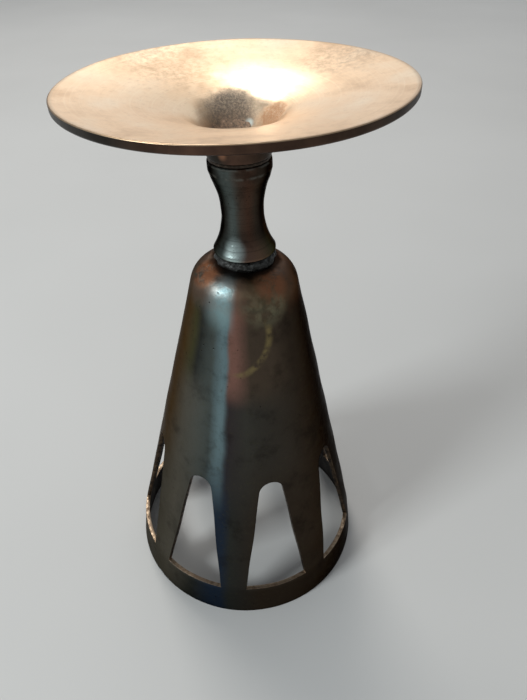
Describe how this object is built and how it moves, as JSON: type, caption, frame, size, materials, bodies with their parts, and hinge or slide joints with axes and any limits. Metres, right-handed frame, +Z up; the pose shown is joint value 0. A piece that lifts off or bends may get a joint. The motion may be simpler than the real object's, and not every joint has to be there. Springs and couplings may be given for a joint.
{
  "type": "incense burner",
  "caption": "Standing brass incense burner: a shallow funnel dish with a central well, on a turned waisted stem, on a bell-shaped base with tall round-headed windows.",
  "frame": {"origin": "middle of the object's footprint, at the table", "axes": "+Z up; -Y is the front; the stem and dish lean slightly towards -X"},
  "size_m": [0.0764, 0.076, 0.1514],
  "materials": {
    "bell_brass": "heat-tinted dark patina, satin",
    "braze": "rough, fire-scaled",
    "stem_brass": "dark patina, worn smooth",
    "solder": "dull, sooted",
    "dish_brass": "bright, worn, with soot in the well"
  },
  "bodies": {
    "root": {"bell_base": "bell_brass", "foot_braze_bead": "braze", "stem": "stem_brass", "neck_solder_ring": "solder", "dish": "dish_brass"}
  },
  "joints": []
}
